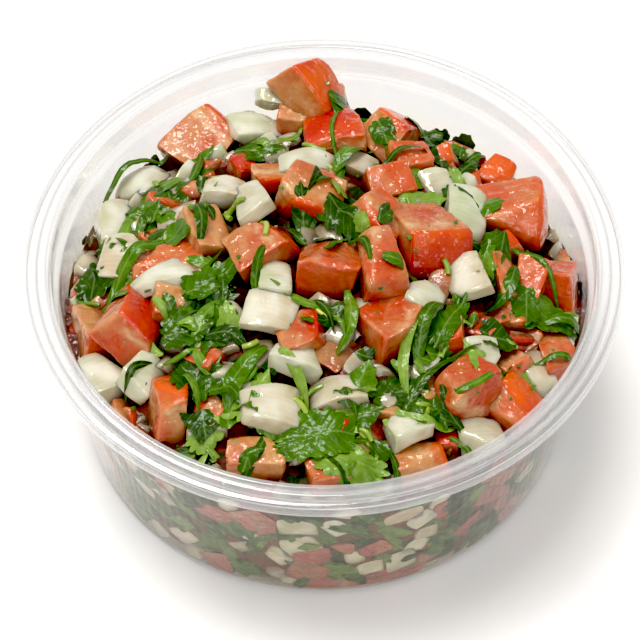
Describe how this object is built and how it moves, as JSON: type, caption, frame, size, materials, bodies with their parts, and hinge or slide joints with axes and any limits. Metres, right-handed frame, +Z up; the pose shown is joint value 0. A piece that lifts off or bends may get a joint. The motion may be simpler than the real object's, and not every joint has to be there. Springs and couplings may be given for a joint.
{
  "type": "tub of pico de gallo",
  "caption": "Fresh tomato, onion and herb salsa heaped in a round clear plastic deli tub with a rolled rim",
  "frame": {"origin": "the middle of the tub's base, on the surface it stands on", "axes": "+Z up through the mouth, -Y towards the viewer of the picture, +X to the viewer's right"},
  "size_m": [0.117, 0.117, 0.0503],
  "materials": {
    "clear_tub": "clear, slightly milky moulded polypropylene, glossy, with fine upright ribs",
    "salsa": "wet diced tomato and white onion with chopped green herb leaves"
  },
  "bodies": {
    "root": {"tub": "clear_tub", "salsa_heap": "salsa"}
  },
  "joints": []
}
